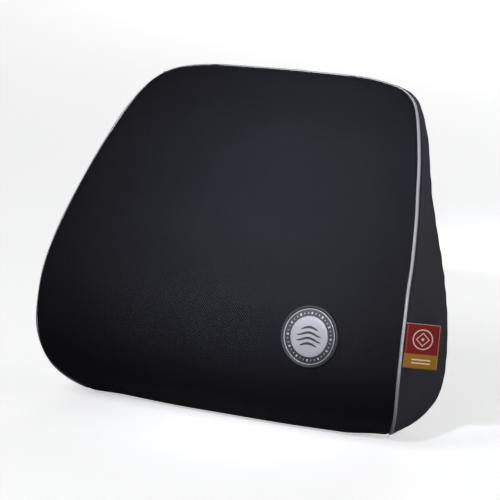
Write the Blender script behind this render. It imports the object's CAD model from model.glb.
# Lumbar cushion: a padded cover over a foam block, with piping, badge, side label, zip and
# buckled strap. It stands upright on the floor. X runs across it, the padded front faces -Y,
# the zip and strap are on the +Y back, and Z is up. "Left" is -X and "right" is +X.
# Lengths are in millimetres until a mesh is made; lights, camera and floor are in metres.
import math
import bmesh
import bpy
import numpy as np
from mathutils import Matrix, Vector


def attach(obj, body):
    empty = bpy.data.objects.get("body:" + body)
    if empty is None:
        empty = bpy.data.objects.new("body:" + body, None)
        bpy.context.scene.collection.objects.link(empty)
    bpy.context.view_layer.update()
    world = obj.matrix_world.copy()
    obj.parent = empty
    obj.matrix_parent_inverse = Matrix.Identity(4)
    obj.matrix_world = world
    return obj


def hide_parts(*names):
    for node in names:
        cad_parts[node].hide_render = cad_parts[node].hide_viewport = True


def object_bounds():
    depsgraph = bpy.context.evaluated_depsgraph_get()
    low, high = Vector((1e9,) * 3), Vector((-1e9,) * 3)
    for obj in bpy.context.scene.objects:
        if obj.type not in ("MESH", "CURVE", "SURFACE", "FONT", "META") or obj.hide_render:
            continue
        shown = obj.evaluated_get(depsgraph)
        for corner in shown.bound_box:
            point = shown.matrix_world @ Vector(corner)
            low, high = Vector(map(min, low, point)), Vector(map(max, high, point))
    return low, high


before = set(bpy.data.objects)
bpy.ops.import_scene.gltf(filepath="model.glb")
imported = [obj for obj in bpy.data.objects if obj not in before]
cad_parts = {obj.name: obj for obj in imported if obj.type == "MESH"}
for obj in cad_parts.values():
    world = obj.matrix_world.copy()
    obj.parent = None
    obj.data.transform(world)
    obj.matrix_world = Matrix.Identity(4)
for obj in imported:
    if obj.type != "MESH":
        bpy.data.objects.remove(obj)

CAD_LO, CAD_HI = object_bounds()
MM = 0.001
FRONTWARD = np.array([0, -1.0, 0])
BACKWARD = np.array([0, 1.0, 0])
MIRROR = np.array([-1, 1])  # flips the x of an (x, other) table

# ---------------------------------------------------------------- driving shape
HEIGHT = 323.3
CROWN_RADIUS = 1413.2  # bow of the front across its width
CORNER_X = 139.0       # where the side outline turns into the top
CORNER_MIN_Z = 250
ZIP_Z = 62.0
STRAP_Z = 184.0
HEM_Y = 8.4            # rear edge of the front cloth, turned under the base
FLAT_START = (27.4, 48.0)  # (y, z) ends of the straight part of the back
FLAT_END = (24.7, 155.0)

# right half of the outline seen from the front: (x, z)
HALF_OUTLINE = [
    (152.0, -5.0), (161.0, -0.9), (171.3, 6.0), (179.8, 15.1), (187.6, 26.4),
    (194.6, 42.5), (199.4, 65.1), (201.2, 93.7), (200.2, 124.1), (196.9, 155.8),
    (190.4, 190.6), (180.2, 229.1), (168.0, 264.7), (156.2, 290.2), (145.4, 304.9),
    (130.4, 314.0), (112.1, 318.7), (96.0, 320.8), (49.0, 322.7), (0.0, HEIGHT)]
# profile of the front on the centre plane: (y, z)
FRONT_PROFILE = [
    (-14.0, 0.0), (-24.0, 1.3), (-32.6, 3.9), (-41.0, 8.8), (-52.2, 16.8), (-64.4, 28.4),
    (-74.3, 43.5), (-79.4, 61.7), (-80.0, 79.3), (-77.9, 96.6), (-73.9, 114.1),
    (-67.9, 131.1), (-59.8, 147.9), (-49.8, 164.6), (-26.9, 200.0), (-0.6, 238.0),
    (25.2, 273.4), (46.0, 298.2), (59.0, 311.8), (72.6, 325.0), (84.0, 335.5)]
# profile of the back below and above the straight part: (y, z)
BACK_BELOW = [
    (3.0, -8.0), (9.5, 0.0), (16.4, 9.5), (22.2, 21.5), (26.1, 34.0), FLAT_START]
BACK_ABOVE = [
    FLAT_END, (24.0, 171.0), (24.1, 187.0), (26.0, 206.5), (29.6, 222.9), (34.8, 237.3),
    (41.5, 251.6), (47.9, 262.7), (54.4, 275.6), (61.9, 290.6), (70.6, 308.0),
    (78.0, 323.5), (83.8, 335.5)]


# ---------------------------------------------------------------- curves and fields
def unit(vectors):
    return vectors / np.linalg.norm(vectors, axis=-1, keepdims=True)


def tangents(path):
    return unit(np.gradient(path, axis=0))


def arc_length(path):
    steps = np.linalg.norm(np.diff(path, axis=0), axis=1)
    return np.concatenate([[0], np.cumsum(steps)])


def sample(path, along, stops):
    """Points of the path at the given lengths along it."""
    return np.stack([np.interp(stops, along, path[:, k]) for k in range(path.shape[1])], -1)


def resample(path, count):
    along = arc_length(path)
    return sample(path, along, np.linspace(0, along[-1], count))


def smooth_path(path, reach, sigma):
    """Gaussian smoothing; reach and sigma count points."""
    kernel = np.exp(-0.5 * (np.arange(-reach, reach + 1) / sigma) ** 2)
    kernel /= kernel.sum()
    padded = [np.pad(column, reach, mode="reflect", reflect_type="odd") for column in path.T]
    return np.stack([np.convolve(column, kernel, mode="valid") for column in padded], -1)


def ramp(value, zero_at, one_at):
    return np.clip((value - zero_at) / (one_at - zero_at), 0, 1)


def smoothstep(t):
    return t * t * (3 - 2 * t)


def fade(distance, reach, power):
    """1 at zero distance, falling away over the reach."""
    return np.exp(-(distance / reach) ** power)


def crowded(count, amount):
    """0 to 1 in steps that are closer together at both ends."""
    t = np.linspace(0, 1, count)
    return t - amount * np.sin(2 * math.pi * t)


def waves(seed, points, scale):
    """Smooth repeatable noise: a sum of randomly turned waves about `scale` mm long."""
    count = 14
    draw = np.random.RandomState(seed)
    total = np.zeros(points.shape[:-1])
    for _ in range(count):
        direction = draw.normal(size=points.shape[-1])
        direction /= np.linalg.norm(direction)
        frequency = 2 * math.pi / (scale * draw.uniform(0.7, 1.6))
        total += np.sin(points @ direction * frequency + draw.uniform(0, 6.28))
    return total / math.sqrt(count)


def cubic(points, samples, start=None, end=None):
    """Cubic spline through the points; an end with no slope given is left free."""
    knots = np.array(points, float)
    along = arc_length(knots)
    step = np.diff(along)
    count = len(knots)
    system = np.zeros((count, count))
    target = np.zeros((count, 2))
    for i in range(1, count - 1):
        before, after = step[i - 1], step[i]
        system[i, i - 1] = after
        system[i, i] = 2 * (before + after)
        system[i, i + 1] = before
        target[i] = 3 * (after * (knots[i] - knots[i - 1]) / before
                         + before * (knots[i + 1] - knots[i]) / after)
    if start is None:
        system[0, 0], system[0, 1] = 2, 1
        target[0] = 3 * (knots[1] - knots[0]) / step[0]
    else:
        system[0, 0] = 1
        target[0] = start
    if end is None:
        system[-1, -1], system[-1, -2] = 2, 1
        target[-1] = 3 * (knots[-1] - knots[-2]) / step[-1]
    else:
        system[-1, -1] = 1
        target[-1] = end
    slope = np.linalg.solve(system, target)
    stops = np.linspace(0, along[-1], samples)
    k = np.clip(np.searchsorted(along, stops, side="right") - 1, 0, count - 2)
    t = ((stops - along[k]) / step[k])[:, None]
    span = step[k][:, None]
    return ((1 + 2 * t) * (1 - t) ** 2 * knots[k] + t * (1 - t) ** 2 * span * slope[k]
            + t * t * (3 - 2 * t) * knots[k + 1] + t * t * (t - 1) * span * slope[k + 1])


FLAT_SLOPE = unit(np.array(FLAT_END) - np.array(FLAT_START))
HALF = cubic(HALF_OUTLINE, 1201, end=(-1, 0))
FRONT = cubic(FRONT_PROFILE, 1201, start=(-1, 0))
BACK = np.vstack([cubic(BACK_BELOW, 401, end=FLAT_SLOPE),
                  cubic(BACK_ABOVE, 801, start=FLAT_SLOPE)])
BACK_LENGTH = arc_length(BACK)


def half_width(z):
    return np.interp(z, HALF[:, 1], HALF[:, 0])


def crown(x, centre_y):
    """Y on the bowed front at x, from its y on the centre plane."""
    radius = CROWN_RADIUS - centre_y
    return CROWN_RADIUS - np.sqrt(radius * radius - x * x)


def front_y(x, z):
    return crown(x, np.interp(z, FRONT[:, 1], FRONT[:, 0]))


def back_y(z):
    return np.interp(z, BACK[:, 1], BACK[:, 0])


def back_length(z):
    """Length along the back profile up to height z."""
    return np.interp(z, BACK[:, 1], BACK_LENGTH)


def soften(points):
    """Curl the right-hand bottom corner of the cover a little off the table."""
    lift, fall_power = 4.3, 1.4
    points = np.array(points, float)
    sideways = smoothstep(ramp(points[..., 0], 118.0, 162.0))
    points[..., 2] += lift * sideways * ramp(points[..., 2], 45.0, 0.0) ** fall_power
    return points


# ---------------------------------------------------------------- mesh helpers
def new_object(name, verts, faces, material=None, smooth=True, uv=None):
    mesh = bpy.data.meshes.new(name)
    mesh.from_pydata([tuple(v) for v in np.asarray(verts, float) * MM], [],
                     [tuple(int(i) for i in face) for face in faces])
    mesh.validate()
    mesh.update()
    if smooth:
        mesh.polygons.foreach_set("use_smooth", [True] * len(mesh.polygons))
    if uv is not None:
        layer = mesh.uv_layers.new(name="UVMap")
        vertex_of_loop = np.zeros(len(mesh.loops), int)
        mesh.loops.foreach_get("vertex_index", vertex_of_loop)
        layer.data.foreach_set("uv", np.asarray(uv, float)[vertex_of_loop].ravel())
    obj = bpy.data.objects.new(name, mesh)
    bpy.context.scene.collection.objects.link(obj)
    if material is not None:
        mesh.materials.append(material)
    return obj


def face_outward(obj, merge=None):
    """Turn the normals outward, after merging vertices closer than `merge` metres."""
    bm = bmesh.new()
    bm.from_mesh(obj.data)
    if merge is not None:
        bmesh.ops.remove_doubles(bm, verts=bm.verts, dist=merge)
    bmesh.ops.recalc_face_normals(bm, faces=bm.faces)
    bm.to_mesh(obj.data)
    bm.free()


def register(obj, node, body="cushion"):
    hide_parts(node)
    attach(obj, body)


def grid_faces(rows, cols, first=0, flip=False):
    faces = []
    for i in range(rows - 1):
        for j in range(cols - 1):
            a = first + i * cols + j
            face = (a, a + 1, a + cols + 1, a + cols)
            faces.append((face[0], face[3], face[2], face[1]) if flip else face)
    return faces


def ring_faces(rings, count, first=0):
    """Walls between successive closed rings of `count` vertices."""
    return [(first + i * count + j, first + i * count + (j + 1) % count,
             first + (i + 1) * count + (j + 1) % count, first + (i + 1) * count + j)
            for i in range(rings - 1) for j in range(count)]


def facing_normals(points, outward):
    """Grid normals on the outward side, and the sign that put them there."""
    normals = np.cross(np.gradient(points, axis=0), np.gradient(points, axis=1))
    normals /= np.maximum(np.linalg.norm(normals, axis=2, keepdims=True), 1e-9)
    sign = np.sign((normals * outward).sum(-1).mean())
    return normals * sign, sign


def sheet(name, points, uv, material, thickness, outward):
    """Closed thin sheet from an outside grid (rows, cols, 3), thickened inward."""
    points = soften(points)
    rows, cols = points.shape[:2]
    normals, sign = facing_normals(points, outward)
    inside = points - normals * thickness
    verts = np.vstack([points.reshape(-1, 3), inside.reshape(-1, 3)])
    layer = rows * cols
    faces = grid_faces(rows, cols, 0, sign < 0) + grid_faces(rows, cols, layer, sign > 0)
    last = (rows - 1) * cols
    rim = [(i * cols, (i + 1) * cols) for i in range(rows - 1)]
    rim += [(last + j, last + j + 1) for j in range(cols - 1)]
    rim += [((i + 1) * cols + cols - 1, i * cols + cols - 1) for i in range(rows - 1)]
    rim += [(j + 1, j) for j in range(cols - 1)]
    for a, b in rim:
        faces.append((a, b, b + layer, a + layer) if sign < 0
                     else (b, a, a + layer, b + layer))
    obj = new_object(name, verts, faces, material, uv=np.vstack([uv.reshape(-1, 2)] * 2))
    face_outward(obj)
    return obj


def tube(name, path, radius, material, sides, wobble=0.0, seed=1):
    """Round bead along a path; UV in mm, along and around."""
    path = soften(path)
    forward = tangents(path)
    turned = np.cross(forward[0], [0.13, 0.2, 1.0])
    across = []
    for direction in forward:
        turned = unit(turned - np.dot(turned, direction) * direction)
        across.append(turned)
    across = np.array(across)
    other = np.cross(forward, across)
    count = len(path)
    along = arc_length(path)
    angle = np.linspace(0, 2 * math.pi, sides + 1)
    lumps = waves(seed, np.stack([along, along * 0.3], -1), 9.0)
    radii = np.asarray(radius) * (1 + wobble * lumps)
    verts = path[:, None] + (across[:, None] * np.cos(angle)[None, :, None]
                             + other[:, None] * np.sin(angle)[None, :, None]
                             ) * radii[:, None, None]
    uv = np.stack([np.repeat(along[:, None], sides + 1, 1),
                   np.repeat((angle * float(np.mean(radius)))[None], count, 0)], -1)
    faces = grid_faces(count, sides + 1)
    start_cap = count * (sides + 1)
    last = (count - 1) * (sides + 1)
    verts = np.vstack([verts.reshape(-1, 3), path[0], path[-1]])
    uv = np.vstack([uv.reshape(-1, 2), [0, 0], [along[-1], 0]])
    for j in range(sides):
        faces.append((start_cap, j + 1, j))
        faces.append((start_cap + 1, last + j, last + j + 1))
    obj = new_object(name, verts, faces, material, uv=uv)
    face_outward(obj, merge=1e-7)
    return obj


# ---------------------------------------------------------------- patches between seams
def coons(bottom, top, left, right, rows, cols):
    """Patch filling four edges; rows go bottom to top, columns left to right."""
    low, high = resample(bottom, cols), resample(top, cols)
    near, far = resample(left, rows), resample(right, rows)
    v = np.linspace(0, 1, rows)[:, None, None]
    u = np.linspace(0, 1, cols)[None, :, None]
    return ((1 - v) * low[None] + v * high[None] + (1 - u) * near[:, None] + u * far[:, None]
            - (1 - v) * (1 - u) * low[0] - (1 - v) * u * low[-1]
            - v * (1 - u) * high[0] - v * u * high[-1])


def crowd_grid(grid, amount=0.075):
    """Move rows and columns of the grid towards the seams."""
    rows, cols, parts = grid.shape
    even_v, even_u = np.linspace(0, 1, rows), np.linspace(0, 1, cols)
    new_v, new_u = crowded(rows, amount), crowded(cols, amount)
    grid = np.stack([np.stack([np.interp(new_v, even_v, grid[:, j, k]) for j in range(cols)], 1)
                     for k in range(parts)], -1)
    return np.stack([np.stack([np.interp(new_u, even_u, grid[i, :, k]) for i in range(rows)], 0)
                     for k in range(parts)], -1)


def edge_distance(grid, border):
    points = grid.reshape(-1, 2)
    distance = np.zeros(len(points))
    stations = resample(border, 900)
    chunk = 4000  # limits the size of the distance table
    for k in range(0, len(points), chunk):
        gap = points[k:k + chunk, None] - stations[None]
        distance[k:k + chunk] = np.sqrt((gap ** 2).sum(-1)).min(1)
    return distance.reshape(grid.shape[:2])


def fill_patch(bottom, top, right, rows, cols):
    """Mirror-symmetric patch: its grid, its closed border and the distance to it."""
    left = right * MIRROR
    grid = crowd_grid(coons(bottom, top, left, right, rows, cols))
    border = np.vstack([bottom, right[1:], top[::-1][1:], left[::-1][1:]])
    return grid, border, edge_distance(grid, border)


def corner_index(half):
    """Row of a half outline at its upper corner."""
    return np.argmin(abs(half[:, 0] - CORNER_X) + (half[:, 1] < CORNER_MIN_Z) * 1e3)


def with_mirror(half):
    """Join a half edge to its mirror image, left to right."""
    return np.vstack([half * MIRROR, half[::-1][1:]])


# ---------------------------------------------------------------- materials
class Shader:
    """A material with one Principled surface, and short ways to add nodes to it."""

    def __init__(self, name):
        self.material = bpy.data.materials.new(name)
        self.material.use_nodes = True
        self.tree = self.material.node_tree
        for node in list(self.tree.nodes):
            self.tree.nodes.remove(node)
        output = self.node("ShaderNodeOutputMaterial")
        self.principled = self.node("ShaderNodeBsdfPrincipled")
        self.put(output.inputs[0], self.principled.outputs[0])

    def put(self, socket, value):
        """Link another socket, or set a value; a colour gains alpha 1."""
        if hasattr(value, "is_linked"):
            self.tree.links.new(value, socket)
        elif isinstance(value, tuple):
            socket.default_value = (*value, 1.0)
        else:
            socket.default_value = value

    def node(self, kind, **inputs):
        node = self.tree.nodes.new(kind)
        for key, value in inputs.items():
            self.put(node.inputs[key], value)
        return node

    def surface(self, settings):
        for key, value in settings.items():
            self.put(self.principled.inputs[key], value)

    def math(self, operation, *values):
        node = self.node("ShaderNodeMath")
        node.operation = operation
        for socket, value in zip(node.inputs, values):
            self.put(socket, value)
        return node.outputs[0]

    def times(self, a, b):
        return self.math("MULTIPLY", a, b)

    def above(self, value, limit):
        return self.math("GREATER_THAN", value, limit)

    def below(self, value, limit):
        return self.math("LESS_THAN", value, limit)

    def sine(self, value, frequency):
        return self.math("SINE", self.times(value, frequency))

    def mix(self, factor, first, second, blend="MIX"):
        node = self.node("ShaderNodeMix")
        node.data_type = "RGBA"
        node.blend_type = blend
        self.put(node.inputs[0], factor)
        self.put(node.inputs[6], first)
        self.put(node.inputs[7], second)
        return node.outputs[2]

    def shade(self, colour, brightness, factor=1.0):
        """Multiply a colour by a grey level."""
        grey = self.node("ShaderNodeCombineColor")
        for i in range(3):
            self.put(grey.inputs[i], brightness)
        return self.mix(factor, colour, grey.outputs[0], "MULTIPLY")

    def coordinates(self, kind):
        source = self.node("ShaderNodeTexCoord")
        mapping = self.node("ShaderNodeMapping")
        self.put(mapping.inputs[0], source.outputs[kind])
        return mapping.outputs[0]

    def split(self, vector):
        return self.node("ShaderNodeSeparateXYZ", Vector=vector).outputs

    def noise(self, vector, **inputs):
        return self.node("ShaderNodeTexNoise", Vector=vector, **inputs).outputs[0]

    def bump(self, height, strength, distance):
        node = self.node("ShaderNodeBump", Strength=strength, Distance=distance, Height=height)
        self.surface({"Normal": node.outputs[0]})


def weave_height(shader, weave, x, y, pitch):
    """Thread relief from 0 to 1."""
    frequency = 2 * math.pi / pitch
    if weave == "twill":
        rising = shader.math("ADD", x, y)
        falling = shader.math("SUBTRACT", x, y)
        ridge = shader.sine(rising, frequency * 0.7071)
        thread = shader.sine(falling, frequency * 0.7071 * 1.9)
        relief = shader.math("ADD", shader.times(ridge, 0.36), shader.times(thread, 0.14))
        return shader.math("ADD", relief, 0.5)
    if weave == "rib":
        rib = shader.sine(y, frequency)
        thread = shader.sine(x, frequency * 0.55)
        relief = shader.math("ADD", shader.times(rib, 0.75), shader.times(thread, 0.25))
    else:
        stretch = {"mesh": 0.6, "plain": 1.0}[weave]
        warp = shader.sine(x, frequency)
        weft = shader.sine(y, frequency * stretch)
        relief = shader.times(warp, weft)
    return shader.math("MULTIPLY_ADD", relief, 0.5, 0.5)


def fabric(name, colour, weave, pitch, bump, rough, sheen, contrast,
           sheen_tint=(0.8, 0.8, 0.9), specular=0.22, metallic=0.0):
    """Woven or knitted cloth on UVs in millimetres."""
    wear = 0.12  # depth of the broad light and dark patches
    shader = Shader(name)
    uv = shader.coordinates("UV")
    x, y, _ = shader.split(uv)
    height = weave_height(shader, weave, x, y, pitch)
    fuzz = shader.noise(uv, Scale=0.9, Detail=3.0)
    grain = shader.noise(uv, Scale=2.2, Detail=2.0, Roughness=0.7)
    patches = shader.noise(uv, Scale=0.022, Detail=2.0)
    dark = tuple(c * (1 - contrast) for c in colour)
    light = tuple(min(1, c * (1 + contrast * 1.3)) for c in colour)
    cloth = shader.mix(height, dark, light)
    cloth = shader.shade(cloth, shader.math("MULTIPLY_ADD", grain, 0.9, 0.55), factor=0.8)
    cloth = shader.shade(cloth, shader.math("MULTIPLY_ADD", patches, wear * 2, 1 - wear))
    shader.surface({
        "Base Color": cloth,
        "Roughness": shader.math("MULTIPLY_ADD", fuzz, 0.16, rough - 0.08),
        "Specular IOR Level": specular,
        "Metallic": metallic,
        "Sheen Weight": sheen,
        "Sheen Roughness": 0.45,
        "Sheen Tint": sheen_tint,
    })
    relief = shader.math("ADD", shader.times(height, 0.8), shader.times(grain, 0.5))
    shader.bump(relief, strength=bump, distance=0.0004)
    return shader.material


def solid(name, colour, rough, grain, bump, metallic=0.0, wear=0.25, edge=None, coat=0.0):
    """Plastic, foam or metal; `edge` is the colour of rubbed corners."""
    shader = Shader(name)
    place = shader.coordinates("Object")
    fine = shader.noise(place, Scale=grain, Detail=3.0)
    broad = shader.noise(place, Scale=45.0, Detail=4.0)
    light = tuple(min(1, c * (1 + wear) + 0.004) for c in colour)
    tone = shader.mix(broad, colour, light)
    if edge is not None:
        geometry = shader.node("ShaderNodeNewGeometry")
        corners = shader.node("ShaderNodeValToRGB", Fac=geometry.outputs["Pointiness"])
        corners.color_ramp.elements[0].position = 0.52
        corners.color_ramp.elements[1].position = 0.6
        tone = shader.mix(corners.outputs[0], tone, edge)
    shader.surface({
        "Base Color": tone,
        "Metallic": metallic,
        "Roughness": shader.math("MULTIPLY_ADD", broad, 0.22, rough - 0.11),
        "Coat Weight": coat,
    })
    shader.bump(fine, strength=bump, distance=0.0002)
    return shader.material


WHITE = (1, 1, 1)
FRONT_KNIT = fabric("front_knit", (0.0041, 0.0042, 0.0059), "twill", pitch=2.0, bump=0.9,
                    rough=0.50, sheen=0.0, contrast=0.8, sheen_tint=(0.55, 0.60, 0.95),
                    specular=0.09)
SIDE_MESH = fabric("side_mesh", (0.0310, 0.0305, 0.0365), "mesh", pitch=2.0, bump=0.9,
                   rough=0.80, sheen=0.02, contrast=0.7, specular=0.08)
BACK_MESH = fabric("back_mesh", (0.0260, 0.0256, 0.0305), "mesh", pitch=2.4, bump=0.9,
                   rough=0.80, sheen=0.02, contrast=0.7, specular=0.08)
PIPING = fabric("piping_satin", (0.285, 0.285, 0.30), "rib", pitch=0.9, bump=0.2, rough=0.36,
                sheen=0.0, contrast=0.12, sheen_tint=WHITE, specular=0.5, metallic=0.25)
THREAD = fabric("stitch_thread", (0.011, 0.011, 0.013), "rib", pitch=0.5, bump=0.3,
                rough=0.6, sheen=0.05, contrast=0.2, sheen_tint=WHITE)
WEBBING = fabric("elastic_webbing", (0.010, 0.010, 0.0115), "rib", pitch=1.9, bump=0.8,
                 rough=0.6, sheen=0.08, contrast=0.6, specular=0.4)
ZIP_TAPE = fabric("zip_tape", (0.014, 0.014, 0.016), "plain", pitch=0.8, bump=0.5,
                  rough=0.8, sheen=0.2, contrast=0.4)
LINER = fabric("liner_jersey", (0.72, 0.72, 0.70), "plain", pitch=1.2, bump=0.4,
               rough=0.9, sheen=0.2, contrast=0.12, sheen_tint=WHITE)
FOAM = solid("memory_foam", (0.80, 0.74, 0.55), rough=0.95, grain=420.0, bump=0.9, wear=0.1)
CORD = solid("piping_cord_pe", (0.8, 0.8, 0.8), rough=0.35, grain=300.0, bump=0.1)
COIL = solid("zip_coil_nylon", (0.02, 0.02, 0.022), rough=0.35, grain=700.0, bump=0.1)
BUCKLE = solid("buckle_acetal", (0.018, 0.018, 0.020), rough=0.42, grain=1400.0, bump=0.35,
               wear=0.35, edge=(0.05, 0.05, 0.055))
ZIP_ENAMEL = solid("zip_enamel", (0.03, 0.03, 0.033), rough=0.3, grain=500.0, bump=0.08,
                   metallic=0.6, wear=0.3, edge=(0.25, 0.25, 0.26), coat=0.4)
ALUMINIUM = solid("zip_stop_aluminium", (0.62, 0.62, 0.64), rough=0.35, grain=600.0,
                  bump=0.12, metallic=1.0, wear=0.1)
RUBBER = solid("badge_rubber", (0.012, 0.012, 0.013), rough=0.5, grain=1500.0, bump=0.2,
               wear=0.3)
SILVER = solid("badge_silver", (0.265, 0.265, 0.268), rough=0.42, grain=1200.0, bump=0.25,
               metallic=0.15, wear=0.15)
RING_SILVER = solid("badge_silver_ring", (0.33, 0.335, 0.35), rough=0.4, grain=1200.0,
                    bump=0.15, metallic=0.3, wear=0.1)

# ---------------------------------------------------------------- front panel
# The patch is laid out as (x, length along the centre profile from the rear hem).
UNDER_STRIP = np.array([(y, 0.0) for y in np.linspace(HEM_Y, FRONT_PROFILE[0][0], 40)])
MERIDIAN = np.vstack([UNDER_STRIP[:-1], FRONT])
MERIDIAN_LENGTH = arc_length(MERIDIAN)
BASE_Z = 0.02  # height at which the side edge leaves the base
FRONT_ROWS, FRONT_COLS = ((150, 170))
# furthest rear position of the hem, which keeps it inside the back panel
HEM_LIMIT_X = [100.0, 120.0, 130.0, 138.5, 145.0, 149.0, 153.0, 158.0, 163.0]
HEM_LIMIT_Y = [11.4, 11.4, 11.6, 11.4, 11.0, 10.6, 9.5, 9.1, 8.6]
HEM_BAND = 16.0  # depth of cloth ahead of the limit that is squeezed to fit


def front_length(z):
    return np.interp(z, FRONT[:, 1], MERIDIAN_LENGTH[len(UNDER_STRIP) - 1:])


def on_front(x, length):
    centre_y = np.interp(length, MERIDIAN_LENGTH, MERIDIAN[:, 0])
    z = np.interp(length, MERIDIAN_LENGTH, MERIDIAN[:, 1])
    return np.stack([x, crown(x, centre_y), z], -1)


def front_edges():
    """Bottom, top and right edges of the patch."""
    half = HALF[HALF[:, 1] >= BASE_Z]
    corner = corner_index(half)
    base_x = half[0, 0]
    rise = np.array([(base_x, s) for s in np.linspace(0, front_length(BASE_Z), 30)])
    half = np.stack([half[:, 0], front_length(half[:, 1])], -1)
    bottom = np.array([(x, 0.0) for x in np.linspace(-base_x, base_x, 60)])
    return bottom, with_mirror(half[corner:]), np.vstack([rise, half[:corner + 1]])


def pad_front(base, normals, grid, distance):
    """Swell the panel beside its seams and fit its hem inside the back panel."""
    length = grid[..., 1]
    under = ramp(length, 38.0, 18.0)  # 1 on the underside, which does not swell
    roll = (-1.9 * fade(distance, 2.2, 1.6)
            + 1.5 * (1 - fade(distance, 2.2, 1.5)) * fade(distance, 24.0, 2))
    roll = roll * (1 - under) + under * np.minimum(roll, 0.0)
    pucker = waves(3, grid, 15.0) * 0.22 * fade(distance, 11.0, 1.3) * (1 - under)
    swell = waves(8, grid, 130.0) * 0.45 * (1 - fade(distance, 30.0, 2)) * (1 - under)
    padded = base + normals * (roll + pucker + swell)[..., None]

    x, y = base[..., 0], padded[..., 1]
    limit = np.interp(np.abs(x), HEM_LIMIT_X, HEM_LIMIT_Y)
    edge = crown(x, HEM_Y)
    band_start = limit - HEM_BAND
    squeezed = band_start + (y - band_start) * (np.minimum(edge, limit) - band_start) \
        / np.maximum(edge - band_start, 1.0)
    padded[..., 1] = np.where((length < 40.0) & (y > band_start), squeezed, y)
    return padded, under


def settle_as_cloth(points, normals, distance):
    """Outward movement of the panel as pressurised cloth held at its seams."""
    step, frames, largest_move = 2, 12, 3.0
    rows, cols = points.shape[:2]
    row_ids = np.unique(np.r_[0:rows:step, rows - 1])
    col_ids = np.unique(np.r_[0:cols:step, cols - 1])
    coarse = np.ix_(row_ids, col_ids)
    start = points[coarse]
    obj = new_object("cloth_tmp", start.reshape(-1, 3),
                     grid_faces(len(row_ids), len(col_ids), flip=True))
    pins = obj.vertex_groups.new(name="pin")
    for k, gap in enumerate(distance[coarse].ravel()):
        weight = float(ramp(gap, 14.0, 4.0))
        if weight > 0:
            pins.add([k], weight, "REPLACE")

    cloth = obj.modifiers.new("cloth", "CLOTH")
    settings = cloth.settings
    settings.quality = 5
    settings.mass = 0.3
    settings.tension_stiffness = 18
    settings.compression_stiffness = 18
    settings.shear_stiffness = 8
    settings.bending_stiffness = 2.5
    settings.vertex_group_mass = "pin"
    settings.use_pressure = True
    settings.uniform_pressure_force = 2.0
    settings.effector_weights.gravity = 0.0
    cloth.collision_settings.use_collision = False
    cloth.point_cache.frame_start = 1
    cloth.point_cache.frame_end = frames
    scene = bpy.context.scene
    for number in range(1, frames + 1):
        scene.frame_set(number)

    evaluated = obj.evaluated_get(bpy.context.evaluated_depsgraph_get())
    mesh = evaluated.to_mesh()
    settled = np.zeros(len(mesh.vertices) * 3)
    mesh.vertices.foreach_get("co", settled)
    settled = settled.reshape(len(row_ids), len(col_ids), 3) / MM
    evaluated.to_mesh_clear()
    scene.frame_set(1)
    bpy.data.objects.remove(obj)

    move = ((settled - start) * normals[coarse]).sum(-1)
    if not np.isfinite(move).all():  # guards against a simulation that blew up
        return np.zeros((rows, cols))
    move = np.stack([np.interp(np.arange(cols), col_ids, row) for row in move], 0)
    move = np.stack([np.interp(np.arange(rows), row_ids, move[:, k]) for k in range(cols)], 1)
    return move * min(1.0, largest_move / max(abs(move).max(), 1e-6))


FRONT_BOTTOM, FRONT_TOP, FRONT_RIGHT = front_edges()
FRONT_GRID, FRONT_BORDER, FRONT_DISTANCE = fill_patch(
    FRONT_BOTTOM, FRONT_TOP, FRONT_RIGHT, FRONT_ROWS, FRONT_COLS)
FRONT_BASE = on_front(FRONT_GRID[..., 0], FRONT_GRID[..., 1])
BASE_NORMALS = facing_normals(FRONT_BASE, FRONTWARD)[0]
front_skin, under_share = pad_front(FRONT_BASE, BASE_NORMALS, FRONT_GRID, FRONT_DISTANCE)
moved = settle_as_cloth(front_skin, BASE_NORMALS, FRONT_DISTANCE)
front_skin = front_skin + BASE_NORMALS * (moved * (1 - under_share))[..., None]
register(sheet("front_panel_cloth", front_skin, FRONT_GRID, FRONT_KNIT, 1.6, FRONTWARD),
         "front_panel")

# ---------------------------------------------------------------- side panels
SIDE_LINE = resample(HALF[(HALF[:, 1] > 4.5) & (HALF[:, 0] > 114.0)], 190)
SIDE_ACROSS = crowded(34, 0.07)


def side_panel(sign):
    """Grid and UV of the side at sign -1 (left) or 1 (right)."""
    x, z = SIDE_LINE.T
    front = (front_y(x, z) + 0.4)[:, None]
    back = (back_y(z) - 0.2)[:, None]
    y = front + (back - front) * SIDE_ACROSS[None]
    count = len(SIDE_ACROSS)
    points = np.stack([np.repeat(x[:, None], count, 1), y,
                       np.repeat(z[:, None], count, 1)], -1)
    along = arc_length(SIDE_LINE)
    from_end = np.minimum(along, along[-1] - along)[:, None] + 3.0
    from_front = np.maximum(y - front, 0.0)
    from_back = np.maximum(back - y, 0.0)
    from_seam = np.minimum(from_front, from_back)
    puff = 1.3 * np.clip((back - front) / 40.0, 0.25, 1)  # less where the panel is narrow
    direction = tangents(SIDE_LINE)
    normals = np.stack([direction[:, 1], 0 * direction[:, 0], -direction[:, 0]], -1)
    uv = np.stack([y, np.repeat(along[:, None], count, 1)], -1)

    height = -2.0 * fade(from_front, 2.6, 1.5) - 0.5 * fade(from_back, 2.2, 1.5)
    height += puff * (1 - fade(from_front, 6.0, 1.4)) * fade(from_seam, 60.0, 2)
    height += puff * fade(from_back, 30.0, 2) * (1 - fade(from_back, 2.5, 1.5))
    # small puckers at the seams, broad unevenness between them
    height += waves(21 + (sign > 0), uv, 17.0) * 0.25 * fade(from_seam, 9.0, 1.3)
    height += waves(5 + (sign > 0), uv, 75.0) * 0.5 * (1 - fade(from_seam, 18.0, 2))
    height -= 1.2 * fade(from_end, 5.0, 1)
    points = points + normals[:, None] * height[..., None]
    points[..., 0] *= sign
    return points, uv


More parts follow.
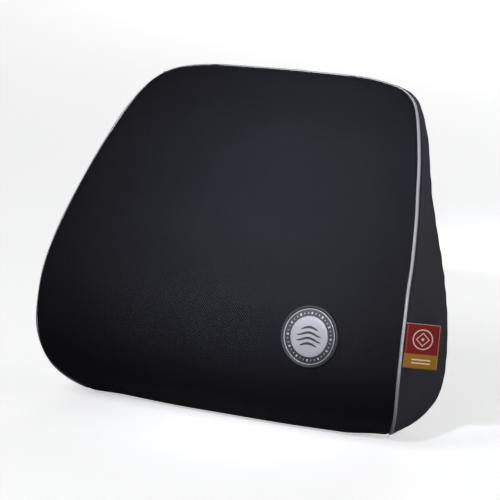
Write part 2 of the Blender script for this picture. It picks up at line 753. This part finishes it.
for sign, side in ((-1, "left"), (1, "right")):
    points, uv = side_panel(sign)
    register(sheet("side_panel_%s_cloth" % side, points, uv, SIDE_MESH, 1.4,
                   np.array([sign * 1.0, 0, 0])),
             "side_panel_%s" % side)

# ---------------------------------------------------------------- back panels
# Laid out as (x, length along the back profile); the zip slot parts them.
BACK_INSET = 1.3  # from the outline
ZIP_SLOT = 4.7    # half height of the slot
SLOT_END = 0.15   # half height beyond the ends of the slot


def zip_gap(x):
    return SLOT_END + (ZIP_SLOT - SLOT_END) * ramp(abs(x), 147.0, 142.0) ** 0.6


def back_edges(lower):
    """Bottom, top and right edges of one back panel."""
    zip_end = half_width(ZIP_Z) - BACK_INSET
    x = np.linspace(-zip_end, zip_end, 400)
    side = -1 if lower else 1
    zip_edge = np.stack([x, back_length(ZIP_Z) + side * zip_gap(x)], -1)
    half = HALF[HALF[:, 1] > 0.3]
    if lower:
        half = half[half[:, 1] < ZIP_Z - SLOT_END]
        right = np.stack([half[:, 0] - BACK_INSET, back_length(half[:, 1])], -1)
        right[-1] = zip_edge[-1]
        foot_x, foot = right[0]
        bottom = np.array([(x, foot) for x in np.linspace(-foot_x, foot_x, 60)])
        return bottom, zip_edge, right
    half = half[half[:, 1] > ZIP_Z + SLOT_END]
    corner = corner_index(half)
    rise, top = half[:corner + 1], half[corner:]
    right = np.stack([rise[:, 0] - BACK_INSET, back_length(rise[:, 1])], -1)
    right[0] = zip_edge[-1]
    top = np.stack([top[:, 0], back_length(top[:, 1] - BACK_INSET)], -1)
    top[0] = right[-1]
    return zip_edge, with_mirror(top), right


def back_panel(lower):
    bottom, top, right = back_edges(lower)
    grid, _, distance = fill_patch(bottom, top, right, 46 if lower else 120, 220)
    x, length = grid[..., 0], grid[..., 1]
    points = np.stack([x, np.interp(length, BACK_LENGTH, BACK[:, 0]),
                       np.interp(length, BACK_LENGTH, BACK[:, 1])], -1)
    normals = facing_normals(points, BACKWARD)[0]
    # the cloth lies flat beside the zip and even behind the strap
    by_zip = ramp(abs(length - back_length(ZIP_Z)), 14.0, 0.0) * (abs(x) < 152)
    off_strap = ramp(abs(length - back_length(STRAP_Z)), 0.0, 32.0)
    height = (-1.5 * fade(distance, 2.6, 1.5)
              + 0.7 * (1 - fade(distance, 4.0, 1.5)) * fade(distance, 22.0, 2))
    height = height * (1 - by_zip) - 0.35 * by_zip * fade(distance, 1.2, 2)
    height += waves(31 + lower, grid, 16.0) * 0.18 * fade(distance, 10.0, 1.3)
    height += waves(33 + lower, grid, 90.0) * 0.35 * (1 - fade(distance, 30.0, 2)) * off_strap
    return points + normals * height[..., None], grid


for lower, side in ((True, "lower"), (False, "upper")):
    points, uv = back_panel(lower)
    register(sheet("back_panel_%s_cloth" % side, points, uv, BACK_MESH, 1.4, BACKWARD),
             "back_panel_%s" % side)

# ---------------------------------------------------------------- piping
PIPING_Z = 3.5  # height of the piping ends under the base


def piping_line():
    """From under the right of the base, over the top, to under the left."""
    step = 0.5
    half = HALF[HALF[:, 1] > PIPING_Z]
    x, z = half.T
    y = front_y(x, z)
    middle = 0.5 * (y + back_y(z))
    at_top = smoothstep(np.where(z > 250, ramp(x, 112.0, 77.0), 0.0))
    y = y + at_top * np.clip(middle - y, 0, 2.4)
    seam = np.stack([x, y, z], -1)
    under = np.array([(x[0], run_y, PIPING_Z) for run_y in np.arange(6.0, -22.0, -step)])
    line = np.vstack([under, seam[seam[:, 2] > 4.6]])
    line = np.vstack([line, (line * [-1, 1, 1])[::-1][1:]])
    line = resample(line, int(arc_length(line)[-1] / step))
    line = smooth_path(line, reach=24, sigma=4.5 / step)
    return resample(line, int(arc_length(line)[-1] / 2.2))


def build_piping():
    line = piping_line()
    x, y, z = line.T
    high = ramp(z, 285.0, 310.0)
    along = arc_length(line)
    sway = waves(77, np.stack([along, 0 * along], -1), 60.0) * 0.45
    shift = high[:, None] * np.array([0.0, 1.2, -1.0])
    shift[:, 1] += sway * ramp(z, 15.0, 35.0) * (1 - high)
    left = ramp(x, -110.0, -140.0) * ramp(z, 12.0, 42.0)
    shift += left[:, None] * np.array([1.0, 0.9, 0.0])
    register(tube("piping_bead", line + shift, 1.55 - 0.35 * high, PIPING, 14,
                  wobble=0.012, seed=4),
             "piping_sleeve")

    # the seam allowance lies inward of the bead, square to it
    forward = tangents(line)
    inward = np.stack([0.35 * x, y + 40.0, 150.0 + 0.5 * (z - 150.0)], -1) - line
    inward = unit(inward - (inward * forward).sum(-1)[:, None] * forward)
    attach(tube("seam_allowance", line + inward * 3.4, 2.7, FRONT_KNIT, 10), "cushion")
    register(tube("piping_core", line + shift, 0.8, CORD, 8), "piping_cord")


build_piping()


# ---------------------------------------------------------------- liner and foam
def closed_body(name, material, front_gap, side_gap, back_gap, low, high, ripple=0.0, seed=0):
    """Closed soft form inside the cover, set in from it by the gaps."""
    levels, across, rounding = 90, 64, 14.0
    heights = low + (high - low) * (0.5 - 0.5 * np.cos(np.linspace(0, math.pi, levels)))
    rings = []
    for z in heights:
        from_end = min(z - low, high - z, rounding)
        inset = 1 - math.sqrt(max(0.0, 1 - (1 - from_end / rounding) ** 2))
        width = half_width(z) - side_gap - 0.6 * rounding * inset
        x = width * np.sin(np.linspace(-math.pi / 2, math.pi / 2, across))
        front = front_y(x, z) + front_gap * 1.15
        back = back_y(z) - back_gap + 0 * x
        middle = 0.5 * (front + back)
        shrink = np.sqrt(np.clip(1 - (abs(x) / width) ** 14, 0, 1)) * (1 - 0.45 * inset)
        front = middle + (front - middle) * shrink
        back = middle + (back - middle) * shrink
        rings.append(np.vstack([np.stack([x, front, 0 * x + z], -1),
                                np.stack([x, back, 0 * x + z], -1)[::-1][1:-1]]))
    rings = np.array(rings)
    levels, count = rings.shape[:2]
    verts = soften(rings.reshape(-1, 3))
    if ripple:
        verts = verts + waves(seed, verts, 22.0)[:, None] * ripple * np.array([0.2, 0.5, 0.2])
    faces = ring_faces(levels, count)
    bottom_cap = len(verts)
    last = (levels - 1) * count
    verts = np.vstack([verts, rings[0].mean(0), rings[-1].mean(0)])
    for j in range(count):
        faces.append((bottom_cap, (j + 1) % count, j))
        faces.append((bottom_cap + 1, last + j, last + (j + 1) % count))
    uv = np.stack([np.repeat(np.arange(count)[None] * 6.0, levels, 0), rings[..., 2]], -1)
    uv = np.vstack([uv.reshape(-1, 2), [0, 0], [0, 0]])
    obj = new_object(name, verts, faces, material, uv=uv)
    face_outward(obj)
    return obj


register(closed_body("liner_bag", LINER, front_gap=5.2, side_gap=4.2, back_gap=6.2,
                     low=3.0, high=306.0, ripple=0.25, seed=41),
         "inner_liner")
register(closed_body("foam_block", FOAM, front_gap=7.0, side_gap=6.0, back_gap=8.0,
                     low=5.0, high=303.5),
         "foam_core")


# ---------------------------------------------------------------- stitches
def stitch_row(name, path, normals, length, gap, radius, lift):
    """Row of short humped thread capsules lying along a path."""
    hump = np.array([-0.9, 0.35, 0.6, 0.35, -0.9]) * radius + lift
    radii = np.array([0.45, 0.95, 1.0, 0.95, 0.45]) * radius
    rings, sides = len(hump), 6
    along = arc_length(path)
    verts, faces, uv = [], [], []
    start = gap
    while start + length < along[-1]:
        stops = np.linspace(start, start + length, rings)
        out = unit(sample(normals, along, stops))
        centre = sample(path, along, stops) + out * hump[:, None]
        forward = tangents(centre)
        across = unit(np.cross(forward, out))
        rise = np.cross(across, forward)
        first = len(verts)
        for i in range(rings):
            for j in range(sides):
                angle = 2 * math.pi * j / sides
                spoke = across[i] * math.cos(angle) + rise[i] * math.sin(angle)
                verts.append(centre[i] + spoke * radii[i])
                uv.append((stops[i], angle * radius))
        faces += ring_faces(rings, sides, first)
        faces.append(tuple(first + j for j in range(sides))[::-1])
        faces.append(tuple(first + (rings - 1) * sides + j for j in range(sides)))
        start += length + gap
    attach(new_object(name, verts, faces, THREAD, uv=uv), "cushion")


def back_stitch_row(name, path, length, gap, radius, lift):
    """Stitch row whose thread stands off towards the back."""
    stitch_row(name, path, np.repeat(BACKWARD[None], len(path), 0), length, gap, radius, lift)


def nearest_on_grid(grid, points):
    """Flat index of the grid point nearest to each point."""
    flat = grid.reshape(-1, 3)
    index = np.zeros(len(points), int)
    chunk = 200
    for k in range(0, len(points), chunk):
        gap = points[k:k + chunk, None] - flat[None]
        index[k:k + chunk] = (gap ** 2).sum(-1).argmin(1)
    return index


def front_inset_path(inset):
    """Line on the padded front at a fixed distance inside the piping seam."""
    left = FRONT_RIGHT * MIRROR
    seam = resample(np.vstack([FRONT_RIGHT, FRONT_TOP[::-1][1:], left[::-1][1:]]), 1500)
    direction = tangents(seam)
    line = seam + np.stack([-direction[:, 1], direction[:, 0]], -1) * inset
    clear = edge_distance(line[:, None], FRONT_BORDER)[:, 0] > inset * 0.96
    line = line[clear & (line[:, 1] > 42)]
    points = on_front(line[:, 0], line[:, 1])
    index = nearest_on_grid(FRONT_BASE, points)
    normals = facing_normals(front_skin, FRONTWARD)[0].reshape(-1, 3)[index]
    offset = ((front_skin - FRONT_BASE) * BASE_NORMALS).sum(-1).reshape(-1)[index]
    offset = np.convolve(np.pad(offset, 4, mode="edge"), np.ones(9) / 9, mode="valid")
    return points + normals * offset[:, None], normals


stitch_path, stitch_normals = front_inset_path(2.3)
stitch_row("seam_stitches_front", stitch_path, stitch_normals,
           length=2.6, gap=0.9, radius=0.22, lift=0.05)

# ---------------------------------------------------------------- badge
BADGE_X, BADGE_Z = 111.5, 103.5
BADGE_CENTRE = np.array([BADGE_X, front_y(BADGE_X, BADGE_Z), BADGE_Z])
BADGE_OUT = unit(np.array([0.0732, -0.9749, 0.2104]))
BADGE_RIGHT = unit(np.array([1.0, 0, 0]) - BADGE_OUT * BADGE_OUT[0])
BADGE_UP = np.cross(BADGE_OUT, BADGE_RIGHT)
BADGE_RADIUS = 28.8
RIM_WIDTH = 2.1
FLOOR_TOP = 1.5             # heights above the front surface
INLAY_LOW = 1.3             # underside of the ring, disc and ticks
DISC_TOP = 2.1


def badge_point(right, up, height):
    """Point above the unpadded front at badge coordinates."""
    point = BADGE_CENTRE + BADGE_RIGHT * right + BADGE_UP * up
    for _ in range(4):  # slide along the badge normal onto the surface
        step = (front_y(point[0], point[2]) - point[1]) / BADGE_OUT[1]
        point = point + BADGE_OUT * step
    return point + BADGE_OUT * height


def lathe(name, profile, material):
    """Turned solid from (radius, height) points, following the curved front."""
    sides = 120
    verts = []
    for j in range(sides):
        angle = 2 * math.pi * j / sides
        for radius, height in profile:
            verts.append(badge_point(radius * math.cos(angle), radius * math.sin(angle), height))
    count = len(profile)
    starts = [(j * count, (j + 1) % sides * count) for j in range(sides)]
    faces = [(a + i, a + i + 1, b + i + 1, b + i) for a, b in starts for i in range(count - 1)]
    faces += [(a + count - 1, a, b, b + count - 1) for a, b in starts]
    obj = new_object(name, verts, faces, material)
    face_outward(obj, merge=2e-6)
    return obj


def fillet_points(edge, side, high, fillet):
    """Rounded top edge; side 1 has its wall at the inner radius, -1 at the outer."""
    return [(edge + side * fillet * (1 - math.cos(turn)), high - fillet + fillet * math.sin(turn))
            for turn in np.linspace(0, math.pi / 2, 5)[::side]]


def raised(name, polygons, low, high, material):
    """Thin flat shapes standing on the badge, from (right, up) polygons."""
    verts, faces = [], []
    for polygon in polygons:
        first, count = len(verts), len(polygon)
        verts += [badge_point(a, b, high) for a, b in polygon]
        verts += [badge_point(a, b, low) for a, b in polygon]
        faces.append(tuple(first + i for i in range(count)))
        for i in range(count):
            after = (i + 1) % count
            faces.append((first + i, first + count + i, first + count + after, first + after))
        faces.append(tuple(first + count + i for i in range(count))[::-1])
    obj = new_object(name, verts, faces, material, smooth=False)
    face_outward(obj)
    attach(obj, "cushion")


def tick_marks():
    """Radial bars in the dark band; every third is wider and longer."""
    count = 36
    ticks = []
    for k in range(count):
        half, inner, outer = (0.28, 21.0, 22.4) if k % 3 else (0.75, 20.7, 22.8)
        angle = 2 * math.pi * k / count
        c, s = math.cos(angle), math.sin(angle)
        corners = ((inner, half), (outer, half), (outer, -half), (inner, -half))
        ticks.append([(r * c + h * s, r * s - h * c) for r, h in corners])
    return ticks


def wave_bands():
    """Four stacked wavy bands, tapering at both ends."""
    swing, half_length, half_width_mid = 1.6, 12.6, 1.15
    bands = []
    for up, half in ((7.2, 9.0), (2.2, half_length), (-2.8, half_length), (-7.8, 9.0)):
        stations = [(x, up + swing * math.cos(x / half_length * math.pi),
                     half_width_mid * math.sin(math.pi * share) ** 0.5)
                    for x, share in zip(np.linspace(-half, half, 24), np.linspace(0, 1, 24))]
        top = [(x, y + taper) for x, y, taper in stations]
        bottom = [(x, y - taper) for x, y, taper in stations[::-1]]
        bands.append(top + bottom[1:-1])
    return bands


RIM_INNER = BADGE_RADIUS - RIM_WIDTH
BADGE_PROFILE = [(0.0, -0.5), (0.0, FLOOR_TOP)]
BADGE_PROFILE += [(radius, FLOOR_TOP) for radius in np.linspace(4, 24, 6)]
BADGE_PROFILE += [
    (RIM_INNER - 0.5, FLOOR_TOP), (RIM_INNER + 0.05, 1.75), (RIM_INNER + 0.2, 2.25),
    (RIM_INNER + 0.6, 2.55), (BADGE_RADIUS - RIM_WIDTH / 2, 2.65), (BADGE_RADIUS - 0.6, 2.5),
    (BADGE_RADIUS - 0.15, 2.1), (BADGE_RADIUS, 1.5), (BADGE_RADIUS + 0.1, 0.6),
    (BADGE_RADIUS + 0.1, -0.5)]
RING_INNER, RING_OUTER, RING_TOP, RING_FILLET = 24.9, 25.65, 2.15, 0.25
RING_PROFILE = [(RING_INNER, INLAY_LOW)]
RING_PROFILE += fillet_points(RING_INNER, 1, RING_TOP, RING_FILLET)
RING_PROFILE += fillet_points(RING_OUTER, -1, RING_TOP, RING_FILLET)
RING_PROFILE += [(RING_OUTER, INLAY_LOW)]
DISC_RADIUS = 18.8
DISC_PROFILE = [(0.0, INLAY_LOW)] + [(radius, DISC_TOP) for radius in (0.0, 5, 10, 15)]
DISC_PROFILE += fillet_points(DISC_RADIUS, -1, DISC_TOP, 0.3) + [(DISC_RADIUS, INLAY_LOW)]

register(lathe("badge_base_moulded", BADGE_PROFILE, RUBBER), "badge_base")
register(lathe("badge_ring_moulded", RING_PROFILE, RING_SILVER), "badge_ring")
register(lathe("badge_disc_moulded", DISC_PROFILE, SILVER), "badge_disc")
raised("badge_ticks", tick_marks(), INLAY_LOW, 1.85, RING_SILVER)
raised("badge_waves", wave_bands(), 1.9, 2.3, RUBBER)

# ---------------------------------------------------------------- side label
LABEL_WIDTH, LABEL_HEIGHT, LABEL_THICK = 31.0, 40.6, 0.95
LABEL_ROOT = np.array([202.41, -60.08, 105.17])  # middle of the sewn edge
LABEL_UP = unit(np.array([-0.0222, 0.2266, 0.9737]))
LABEL_OUT = np.array([0.839, 0.534, -0.105])     # from the sewn edge to the free edge
LABEL_OUT = unit(LABEL_OUT - LABEL_UP * (LABEL_OUT @ LABEL_UP))
LABEL_NORMAL = np.cross(LABEL_OUT, LABEL_UP)


def build_label(material):
    cols, rows, rounding = 40, 52, 0.5
    verts, uv = [], []
    for side in (1, -1):
        for i in range(rows):
            for j in range(cols):
                u = LABEL_WIDTH * j / (cols - 1)
                v = LABEL_HEIGHT * (i / (rows - 1) - 0.5)
                from_end = min(v + LABEL_HEIGHT / 2, LABEL_HEIGHT / 2 - v)
                du = max(0.0, 1 - (LABEL_WIDTH - u) / rounding)
                dv = max(0.0, 1 - from_end / rounding)
                share = math.sqrt(max(0.0, 1 - min(1, du * du + dv * dv))) if j else 0.6
                reach = u / LABEL_WIDTH
                wave = 0.25 * math.sin(reach * 2.4) * math.sin(v / 13.0 + 0.6) * reach
                verts.append(LABEL_ROOT + LABEL_OUT * u + LABEL_UP * v
                             + LABEL_NORMAL * (side * 0.5 * LABEL_THICK * share + wave))
                uv.append((u, v + LABEL_HEIGHT / 2))
    layer = rows * cols
    faces = grid_faces(rows, cols) + grid_faces(rows, cols, layer, True)
    for i in range(rows - 1):
        a, b = i * cols, (i + 1) * cols
        faces.append((a, b, b + layer, a + layer))
        a, b = b - 1, b + cols - 1
        faces.append((a, a + layer, b + layer, b))
    last = (rows - 1) * cols
    for j in range(cols - 1):
        faces.append((j, j + layer, j + 1 + layer, j + 1))
        k = last + j
        faces.append((k, k + 1, k + 1 + layer, k + layer))
    obj = new_object("side_label_woven", verts, faces, material, uv=uv)
    face_outward(obj)
    register(obj, "side_label", "label")


def label_material():
    """Red field over a gold one, with a ring, a diamond, a dot and two bars."""
    red, gold = (0.145, 0.0062, 0.0048), (0.25, 0.120, 0.009)
    motif, bars = (0.52, 0.40, 0.34), (0.62, 0.50, 0.36)
    selvedge, sewing = (0.40, 0.27, 0.20), (0.30, 0.10, 0.05)
    motif_x, motif_y, field_split = 16.0, 26.6, 13.2
    thread_pitch = 0.55
    shader = Shader("woven_label")
    above, below, times = shader.above, shader.below, shader.times
    uv = shader.coordinates("UV")
    x, y, _ = shader.split(uv)
    colour = shader.mix(above(y, field_split), gold, red)

    dx = shader.math("SUBTRACT", x, motif_x)
    dy = shader.math("SUBTRACT", y, motif_y)
    radius = shader.math("SQRT", shader.math("ADD", times(dx, dx), times(dy, dy)))
    ring = times(above(radius, 8.2), below(radius, 9.2))
    diamond = shader.math("ADD", shader.math("ABSOLUTE", dx), shader.math("ABSOLUTE", dy))
    outline = times(above(diamond, 5.2), below(diamond, 6.3))
    for part in (ring, outline, below(radius, 1.3)):
        colour = shader.mix(part, colour, motif)

    bar_half = 0.55
    for bar_y in (8.2, 5.2):
        in_height = times(above(y, bar_y - bar_half), below(y, bar_y + bar_half))
        in_width = times(above(x, 7.5), below(x, 24.5))
        colour = shader.mix(times(in_height, in_width), colour, bars)
    edge = shader.math("MAXIMUM", above(x, 30.3), above(y, 40.0))
    colour = shader.mix(edge, colour, selvedge)
    stitches = times(times(above(x, 1.5), below(x, 2.1)), above(shader.sine(y, 2.4), -0.3))
    colour = shader.mix(stitches, colour, sewing)

    frequency = 2 * math.pi / thread_pitch
    weave = times(shader.sine(x, frequency), shader.sine(y, frequency))
    height = shader.math("MULTIPLY_ADD", weave, 0.5, 0.5)
    mottle = shader.noise(uv, Scale=1.3, Detail=3.0)
    brightness = times(shader.math("MULTIPLY_ADD", height, 0.3, 0.72),
                       shader.math("MULTIPLY_ADD", mottle, 0.3, 0.85))
    shader.surface({
        "Base Color": shader.shade(colour, brightness),
        "Roughness": 0.62,
        "Specular IOR Level": 0.15,
    })
    shader.bump(height, strength=0.35, distance=0.0002)
    return shader.material


build_label(label_material())

# ---------------------------------------------------------------- zip
ZIP_CENTRE = np.array([0, 27.05, ZIP_Z])
ZIP_OUT = np.array([0, 0.9997, 0.0252])
ZIP_UP = np.array([0, -0.0252, 0.9997])


def zip_point(x, up, out):
    return ZIP_CENTRE + np.array([x, 0, 0]) + ZIP_UP * up + ZIP_OUT * out


def zip_tape(side, sign):
    x_stations = np.linspace(-149.5, 149.5, 260)
    up_stations = np.linspace(3.45, 12.3, 9)
    points = np.array([[zip_point(x, sign * up, -2.35 + 0.02 * math.sin(x / 3.1))
                        for up in up_stations] for x in x_stations])
    uv = np.stack(np.meshgrid(x_stations, up_stations, indexing="ij"), -1)
    register(sheet("zip_tape_%s_woven" % side, points, uv, ZIP_TAPE, 0.7, ZIP_OUT),
             "zip_tape_%s" % side)


def zip_coil(side, sign):
    """Spiral element row along the tape edge."""
    pitch, run, start_x, limit_x = 1.35, 287.0, -143.6, 143.8
    per_turn = 12
    steps = np.arange(int(run / pitch) * per_turn)
    angle = steps * 2 * math.pi / per_turn
    phase = 0 if sign > 0 else pitch / 2 * 0.9
    x_stations = np.clip(start_x + steps * pitch / per_turn + phase, -limit_x, limit_x)
    path = np.array([zip_point(x, sign * (1.85 + 1.05 * math.cos(turn)),
                               -0.35 + 0.55 * math.sin(turn))
                     for x, turn in zip(x_stations, angle)])
    register(tube("zip_coil_%s_spiral" % side, path, 0.27, COIL, 5),
             "zip_coil_%s" % side)


ZIP_SIDES = (("upper", 1), ("lower", -1))
for build in (zip_tape, zip_coil):
    for side, sign in ZIP_SIDES:
        build(side, sign)

# ---------------------------------------------------------------- straps
# centre lines of the bands seen from above, each folding back at its inner end: (x, y)
STRAP_LEFT = [
    (-183, 28.7), (-44, 28.7), (-35.5, 30.15), (-28.9, 30.15), (-28.9, 36.8),
    (-36.2, 36.8), (-46, 30.32), (-66, 30.32)]
STRAP_RIGHT = [
    (183, 28.7), (44, 28.7), (36, 29.65), (10.4, 29.65), (10.4, 36.8), (16.9, 36.8),
    (18.6, 31.75), (31, 31.75), (44, 30.32), (122, 30.32)]
STRAP_THICK = 1.35
# cross-section of a band: (height from its middle, share of the thickness)
STRAP_SECTION = np.array([
    (-19, 0.55), (-18.6, 0.95), (-17.2, 1.0), (-14, 0.93), (-9.5, 0.93), (-5, 0.93), (0, 0.93),
    (5, 0.93), (9.5, 0.93), (14, 0.93), (17.2, 1.0), (18.6, 0.95), (19.0, 0.55)])


def strap(side, centre_line):
    line = smooth_path(resample(np.array(centre_line, float), 900), reach=10, sigma=3.2)
    direction = tangents(line)
    normals = np.stack([-direction[:, 1], direction[:, 0]], -1)
    along = arc_length(line)
    heights = STRAP_SECTION[:, 0]
    offsets = 0.5 * STRAP_THICK * STRAP_SECTION[:, 1]
    heights = np.r_[heights, heights[::-1]]
    offsets = np.r_[offsets, -offsets[::-1]]
    rings = np.stack([
        np.stack([line[:, 0] + normals[:, 0] * offset, line[:, 1] + normals[:, 1] * offset,
                  STRAP_Z + height + 0 * along], -1)
        for height, offset in zip(heights, offsets)], 1)
    count, around = rings.shape[:2]
    uv = np.stack([np.repeat(along[:, None], around, 1),
                   np.repeat(heights[None], count, 0)], -1)
    faces = ring_faces(count, around)
    faces.append(tuple(range(around))[::-1])
    faces.append(tuple((count - 1) * around + j for j in range(around)))
    obj = new_object("strap_%s_woven" % side, rings.reshape(-1, 3), faces, WEBBING,
                     uv=uv.reshape(-1, 2))
    face_outward(obj)
    register(obj, "strap_%s" % side)


def box_stitch(name, x0, x1, y):
    """Stitched rectangle with both diagonals, facing the back."""
    z0, z1 = STRAP_Z - 16, STRAP_Z + 16
    lines = [[(x0, z0), (x1, z0), (x1, z1), (x0, z1), (x0, z0)],
             [(x0, z0), (x1, z1)], [(x0, z1), (x1, z0)]]
    for k, line in enumerate(lines):
        flat = resample(np.array(line, float), 200)
        path = np.stack([flat[:, 0], 0 * flat[:, 0] + y, flat[:, 1]], -1)
        back_stitch_row("%s_%d" % (name, k), path, length=2.2, gap=0.8, radius=0.22, lift=0.05)


strap("left", STRAP_LEFT)
strap("right", STRAP_RIGHT)
box_stitch("strap_tack_left", -181, -160, 29.35)
box_stitch("strap_tack_right", 160, 181, 29.35)
box_stitch("strap_fold_left", -64, -50, 30.98)

# CAD hardware keeps its exact shape and takes these surfaces
HARDWARE = {
    "buckle_socket": BUCKLE, "buckle_plug": BUCKLE, "buckle_prong_upper": BUCKLE,
    "buckle_prong_lower": BUCKLE, "strap_keeper": BUCKLE, "zip_slider": ZIP_ENAMEL,
    "zip_pull": ZIP_ENAMEL, "zip_top_stops": ALUMINIUM, "zip_bottom_stop": ALUMINIUM}
for node_name, material in HARDWARE.items():
    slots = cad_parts[node_name].data.materials
    slots.clear()
    slots.append(material)

# stitched rows that hold the zip tapes
for side, sign in ZIP_SIDES:
    row_z = ZIP_Z + sign * 8.2
    path = np.array([[x, float(back_y(row_z)), row_z] for x in np.linspace(-146, 146, 700)])
    back_stitch_row("zip_stitches_%s" % side, path, length=2.4, gap=0.8, radius=0.2, lift=0.1)


# ---------------------------------------------------------------- studio (metres)
def floor_material():
    """Pale and faintly glowing to the camera, dark grey to all other rays."""
    shader = Shader("studio_floor")
    cloud = shader.noise(shader.coordinates("Object"), Scale=3.0, Detail=2.0)
    seen = shader.mix(cloud, (0.93, 0.93, 0.93), (0.95, 0.95, 0.95))
    to_camera = shader.node("ShaderNodeLightPath").outputs["Is Camera Ray"]
    shader.surface({
        "Roughness": 0.9,
        "Specular IOR Level": 0.1,
        "Base Color": shader.mix(to_camera, (0.22, 0.22, 0.23), seen),
        "Emission Color": WHITE,
        "Emission Strength": shader.times(to_camera, 0.50),
    })
    return shader.material


def place(name, data, location, target):
    """Add a light or camera that looks at the target."""
    obj = bpy.data.objects.new(name, data)
    bpy.context.scene.collection.objects.link(obj)
    obj.location = location
    direction = Vector(target) - Vector(location)
    obj.rotation_euler = direction.to_track_quat("-Z", "Y").to_euler()
    return obj


def area_light(name, location, target, power, size, size_y=None):
    light = bpy.data.lights.new(name, "AREA")
    light.energy = power
    light.shape = "RECTANGLE" if size_y else "SQUARE"
    light.size = size
    if size_y:
        light.size_y = size_y
    return place(name, light, location, target)


def panel_glow():
    """Cool spot on the upper front."""
    light = bpy.data.lights.new("panel_glow", "SPOT")
    light.energy = 400.0
    light.color = (0.84, 0.85, 1.0)
    light.spot_size = math.radians(14.6)
    light.spot_blend = 1.0
    light.shadow_soft_size = 0.12
    return place("panel_glow", light, (0.15, -1.6, 1.15), (0.036, -0.02, 0.232))


def studio_camera():
    data = bpy.data.cameras.new("camera")
    data.lens = 180.77
    data.sensor_width = 36.0
    data.sensor_fit = "HORIZONTAL"
    data.clip_start = 0.05
    data.clip_end = 50
    return place("camera", data, (1.22109, -1.99498, 0.66683), (-0.02617, 0.04852, 0.14628))


scene = bpy.context.scene
FLOOR_GAP = 0.0006  # below the lowest CAD point
bpy.ops.mesh.primitive_plane_add(size=14.0, location=(0, 0, float(CAD_LO.z) - FLOOR_GAP))
floor = bpy.context.object
floor.name = "studio_floor"
floor.data.materials.append(floor_material())

lights = [
    area_light("key_top_left", (-0.35, -1.5, 1.75), (0.0, -0.03, 0.17), power=13.5, size=0.9),
    area_light("rim_right", (2.3, 0.1, 0.42), (0, 0, 0.15), power=18.0, size=0.9),
    area_light("front_low", (1.62, -2.45, 0.38), (0.1, 0, 0.1), power=16.0, size=0.5,
               size_y=0.6),
    area_light("back_low", (-0.9, 4.6, 1.0), (0, 0, 0.16), power=60.0, size=1.6, size_y=1.0),
    panel_glow(),
]

world = scene.world or bpy.data.worlds.new("World")
scene.world = world
world.use_nodes = True
world_nodes = world.node_tree.nodes
background = world_nodes.get("Background") or world_nodes.new("ShaderNodeBackground")
background.inputs["Color"].default_value = (0.96, 0.97, 1.0, 1)
background.inputs["Strength"].default_value = 0.20
scene.view_settings.view_transform = "Standard"

camera = studio_camera()
scene.camera = camera
